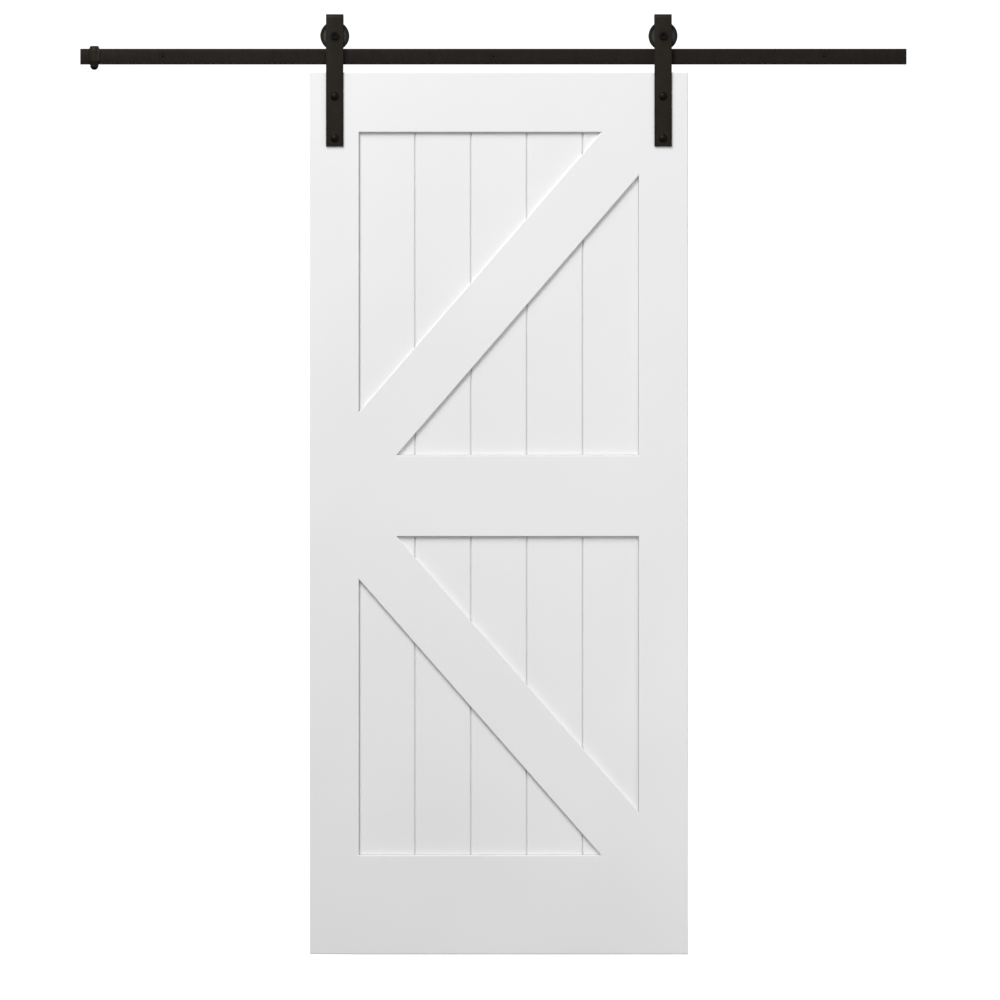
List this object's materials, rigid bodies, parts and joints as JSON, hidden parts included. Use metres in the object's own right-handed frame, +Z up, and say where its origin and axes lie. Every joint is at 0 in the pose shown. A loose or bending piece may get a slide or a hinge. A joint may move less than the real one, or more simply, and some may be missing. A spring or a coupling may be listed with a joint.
{
  "type": "sliding barn door",
  "caption": "White K-brace barn door with V-grooved panels, hung from bent-strap hangers with grooved wheels that roll on a flat steel wall track with an end stop.",
  "frame": {"origin": "centre of the track bar's row of wall screws, on the wall surface where the spacers' rear faces stand", "axes": "+X along the bar to the right seen from the front, +Y into the wall, +Z up; the front of the door faces -Y"},
  "size_m": [2, 0.117, 2.2749],
  "materials": {
    "white_paint": "fibreboard with a smooth white satin primer coat",
    "beech": "bare fluted beech",
    "bronze_coat": "dark bronze powder coat on steel, satin with a fine texture",
    "bronze_wheel": "dark bronze coat on turned steel",
    "bronze_fastener": "dark oxide fasteners, a little glossier than the straps",
    "bright_steel": "ground bearing steel",
    "black_rubber": "matt black rubber"
  },
  "bodies": {
    "track": {"bar": "bronze_coat", "spacer_1": "bronze_coat", "spacer_2": "bronze_coat", "spacer_3": "bronze_coat", "spacer_4": "bronze_coat", "spacer_5": "bronze_coat", "lag_screw_1": "bronze_fastener", "lag_screw_2": "bronze_fastener", "lag_screw_3": "bronze_fastener", "lag_screw_4": "bronze_fastener", "lag_screw_5": "bronze_fastener", "end_stop": "bronze_coat", "stop_bumper": "black_rubber", "stop_screw": "bronze_fastener"},
    "door": {"stile_left": "white_paint", "stile_right": "white_paint", "top_rail": "white_paint", "middle_rail": "white_paint", "bottom_rail": "white_paint", "upper_panel": "white_paint", "lower_panel": "white_paint", "upper_brace_front": "white_paint", "lower_brace_front": "white_paint", "upper_brace_back": "white_paint", "lower_brace_back": "white_paint", "dowels": "beech", "strap_left": "bronze_coat", "strap_right": "bronze_coat", "axle_bolt_left": "bronze_fastener", "axle_bolt_right": "bronze_fastener", "axle_sleeves_left": "bright_steel", "axle_sleeves_right": "bright_steel", "axle_washer_left": "bronze_fastener", "axle_washer_right": "bronze_fastener", "axle_nut_left": "bronze_fastener", "axle_nut_right": "bronze_fastener", "door_bolts_left": "bronze_fastener", "door_bolts_right": "bronze_fastener", "door_washers_left": "bronze_fastener", "door_washers_right": "bronze_fastener", "door_nuts_left": "bronze_fastener", "door_nuts_right": "bronze_fastener", "inner_ring_left": "bright_steel", "inner_ring_right": "bright_steel"},
    "wheel_left": {"wheel_left": "bronze_wheel", "outer_ring_left": "bright_steel", "bearing_balls_left": "bright_steel", "ball_cage_left": "bright_steel", "bearing_shields_left": "bright_steel"},
    "wheel_right": {"wheel_right": "bronze_wheel", "outer_ring_right": "bright_steel", "bearing_balls_right": "bright_steel", "ball_cage_right": "bright_steel", "bearing_shields_right": "bright_steel"}
  },
  "joints": [
    {"name": "door_slide", "type": "slide", "parent": "track", "child": "door", "axis": [1, 0, 0], "range_m": [-0.548, 0.55]},
    {"name": "wheel_left_spin", "type": "hinge", "parent": "door", "child": "wheel_left", "pos_m": [-0.3839, -0.041, 0.05025], "axis": [0, 1, 0], "continuous": true},
    {"name": "wheel_right_spin", "type": "hinge", "parent": "door", "child": "wheel_right", "pos_m": [0.4105, -0.041, 0.05025], "axis": [0, 1, 0], "continuous": true}
  ],
  "couplings": [
    {"joint": "wheel_left_spin", "follows": "door_slide", "rad_per_m": 32.258},
    {"joint": "wheel_right_spin", "follows": "door_slide", "rad_per_m": 32.258}
  ]
}
